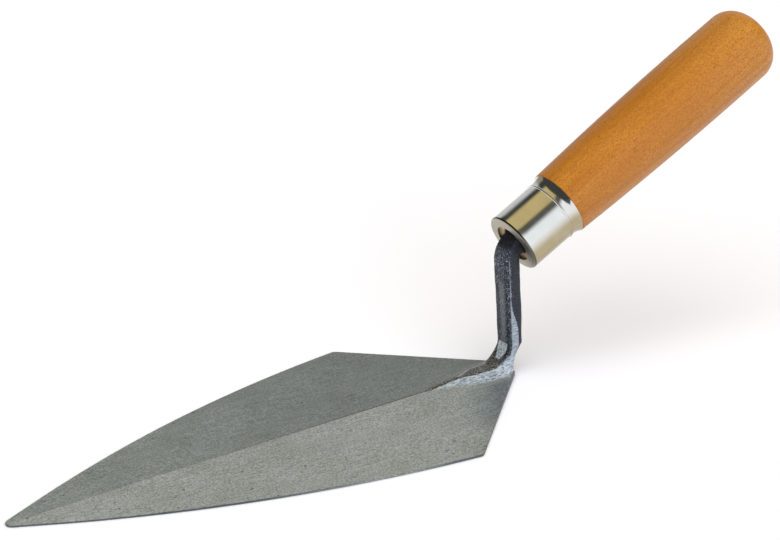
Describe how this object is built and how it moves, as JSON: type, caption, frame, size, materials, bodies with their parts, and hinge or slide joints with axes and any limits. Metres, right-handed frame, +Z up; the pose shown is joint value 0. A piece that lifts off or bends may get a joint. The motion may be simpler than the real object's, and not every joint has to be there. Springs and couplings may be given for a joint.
{
  "type": "brick trowel",
  "caption": "Brick trowel: flat pointed steel blade with a blunt V heel, a cranked steel neck, a plated ferrule and a turned wooden handle.",
  "frame": {"origin": "on the blade's flat underside, on its centre line, at its widest point", "axes": "+X from the point towards the handle, +Y across the blade, +Z up from the blade's underside"},
  "size_m": [0.3541, 0.1072, 0.135],
  "materials": {
    "forged_steel": "ground blade, dark forge scale on the neck",
    "plated_steel": "bright nickel plate",
    "beech": "amber lacquer"
  },
  "bodies": {
    "root": {"blade_forging": "forged_steel", "ferrule": "plated_steel", "handle": "beech"}
  },
  "joints": []
}
